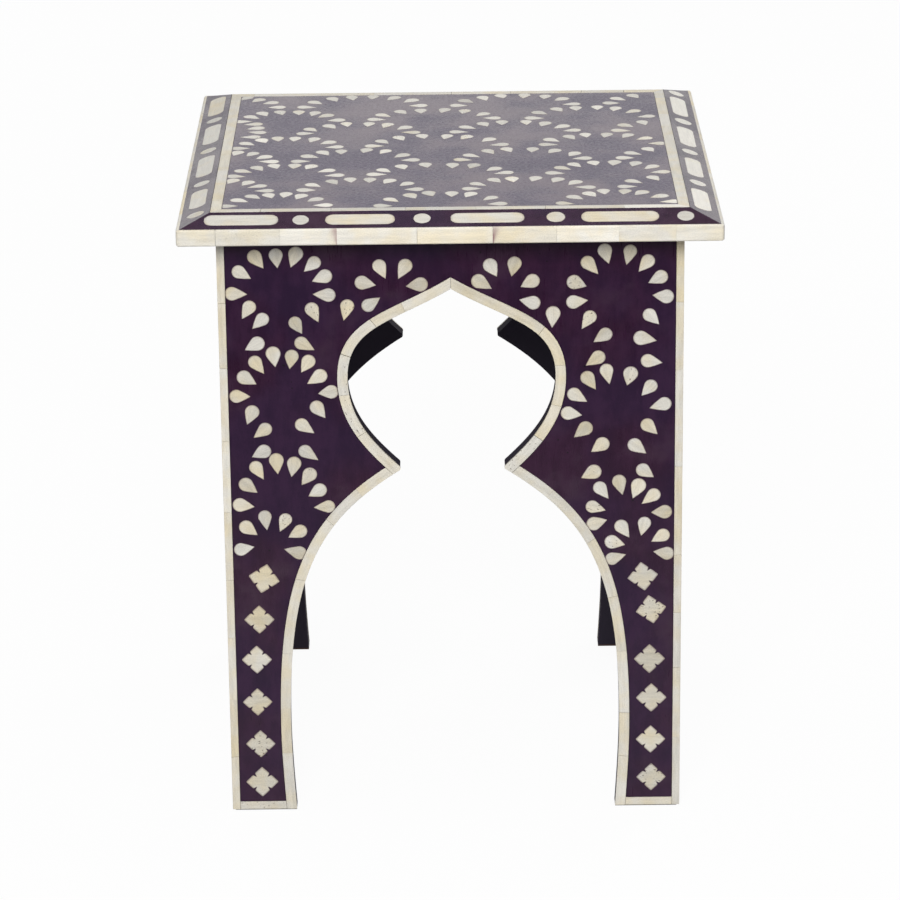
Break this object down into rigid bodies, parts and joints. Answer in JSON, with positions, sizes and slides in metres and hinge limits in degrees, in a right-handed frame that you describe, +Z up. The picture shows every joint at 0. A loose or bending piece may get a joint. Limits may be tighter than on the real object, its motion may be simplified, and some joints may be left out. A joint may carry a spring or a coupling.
{
  "type": "moroccan kursi stool",
  "caption": "Square side table or stool with a bevelled top on four panels cut through with pointed keyhole arches, inlaid all over with bone strips in dark resin.",
  "frame": {"origin": "on the floor, under the middle of the square top", "axes": "+Z up, front faces -Y, +X to the viewer's right"},
  "size_m": [0.381, 0.381, 0.4585],
  "materials": {
    "bone": "polished ivory-coloured bone, satin",
    "resin": "dark aubergine poured resin, sanded and polished",
    "black_wood": "wood board painted satin black",
    "screw_steel": "plain steel"
  },
  "bodies": {
    "root": {"top_board": "black_wood", "top_field_resin": "resin", "top_bevel_resin": "resin", "top_edging_front": "bone", "top_edging_right": "bone", "top_edging_back": "bone", "top_edging_left": "bone", "top_stringing_front": "bone", "top_stringing_right": "bone", "top_stringing_back": "bone", "top_stringing_left": "bone", "front_panel": "black_wood", "right_panel": "black_wood", "back_panel": "black_wood", "left_panel": "black_wood", "front_resin": "resin", "right_resin": "resin", "back_resin": "resin", "left_resin": "resin", "front_arch_upper_strip_left": "bone", "front_arch_upper_strip_right": "bone", "front_arch_lower_strip_left": "bone", "front_arch_lower_strip_right": "bone", "front_border_strip_left": "bone", "front_border_strip_right": "bone", "front_foot_strip_left": "bone", "front_foot_strip_right": "bone", "right_arch_upper_strip_left": "bone", "right_arch_upper_strip_right": "bone", "right_arch_lower_strip_left": "bone", "right_arch_lower_strip_right": "bone", "right_border_strip_left": "bone", "right_border_strip_right": "bone", "right_foot_strip_left": "bone", "right_foot_strip_right": "bone", "back_arch_upper_strip_left": "bone", "back_arch_upper_strip_right": "bone", "back_arch_lower_strip_left": "bone", "back_arch_lower_strip_right": "bone", "back_border_strip_left": "bone", "back_border_strip_right": "bone", "back_foot_strip_left": "bone", "back_foot_strip_right": "bone", "left_arch_upper_strip_left": "bone", "left_arch_upper_strip_right": "bone", "left_arch_lower_strip_left": "bone", "left_arch_lower_strip_right": "bone", "left_border_strip_left": "bone", "left_border_strip_right": "bone", "left_foot_strip_left": "bone", "left_foot_strip_right": "bone", "corner_block_front_left": "black_wood", "corner_block_front_right": "black_wood", "corner_block_back_right": "black_wood", "corner_block_back_left": "black_wood", "corner_screw_front_left": "screw_steel", "corner_screw_front_right": "screw_steel", "corner_screw_back_right": "screw_steel", "corner_screw_back_left": "screw_steel"}
  },
  "joints": []
}
